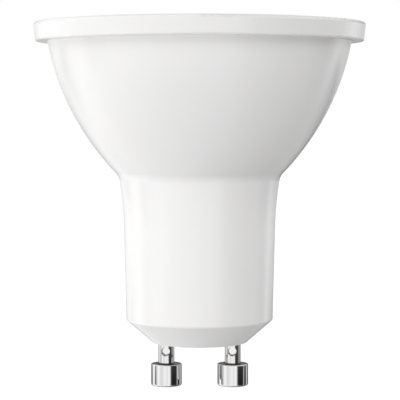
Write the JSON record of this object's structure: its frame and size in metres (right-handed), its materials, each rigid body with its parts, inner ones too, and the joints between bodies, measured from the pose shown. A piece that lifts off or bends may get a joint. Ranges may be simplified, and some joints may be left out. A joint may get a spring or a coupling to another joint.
{
  "type": "gu10 spotlight bulb",
  "caption": "Reflector-shaped LED spot lamp with a rimmed bowl, a straight neck and a twist-lock base of footed contact pins.",
  "frame": {"origin": "on the lamp's axis, in the plane that the two pin feet stand on", "axes": "+Z along the lamp's axis from the pins to the lens; X through both pins; the crimps face -Y"},
  "size_m": [0.0494, 0.0494, 0.0544],
  "materials": {
    "housing_plastic": "glossy white moulded polyester",
    "lens_clear": "clear moulded acrylic",
    "pin_plating": "bright nickel plate on brass",
    "pressed_aluminium": "bare pressed sheet",
    "board_white": "white solder mask on aluminium",
    "diode_package": "white package with yellow phosphor",
    "screw_steel": "zinc plated",
    "socket_plastic": "natural nylon",
    "header_plastic": "black nylon",
    "tinned_wire": "tinned",
    "board_green": "green solder mask on glass laminate",
    "capacitor_sleeve": "dark shrunk sleeve",
    "ferrite": "sintered ferrite",
    "enamelled_copper": "enamelled wire",
    "film_case": "dipped resin",
    "mould_black": "moulded epoxy",
    "resistor_black": "glazed ceramic chip",
    "fuse_coating": "grey-green cement coating"
  },
  "bodies": {
    "root": {"housing": "housing_plastic", "lens": "lens_clear", "pin_left": "pin_plating", "pin_right": "pin_plating", "heat_spreader": "pressed_aluminium", "light_board": "board_white", "output_header": "header_plastic", "board_socket": "socket_plastic", "output_pins": "tinned_wire", "driver_board": "board_green", "smoothing_capacitor": "capacitor_sleeve", "capacitor_leads": "tinned_wire", "choke_core": "ferrite", "choke_winding": "enamelled_copper", "film_capacitor": "film_case", "bridge_rectifier": "mould_black", "driver_chip": "mould_black", "flyback_diode": "mould_black", "fuse_resistor": "fuse_coating", "mains_lead": "tinned_wire", "led_1": "diode_package", "led_2": "diode_package", "led_3": "diode_package", "led_4": "diode_package", "led_5": "diode_package", "led_6": "diode_package", "board_screw_1": "screw_steel", "board_screw_2": "screw_steel", "board_screw_3": "screw_steel", "chip_resistor_1": "resistor_black", "chip_resistor_2": "resistor_black", "chip_resistor_3": "resistor_black"}
  },
  "joints": []
}
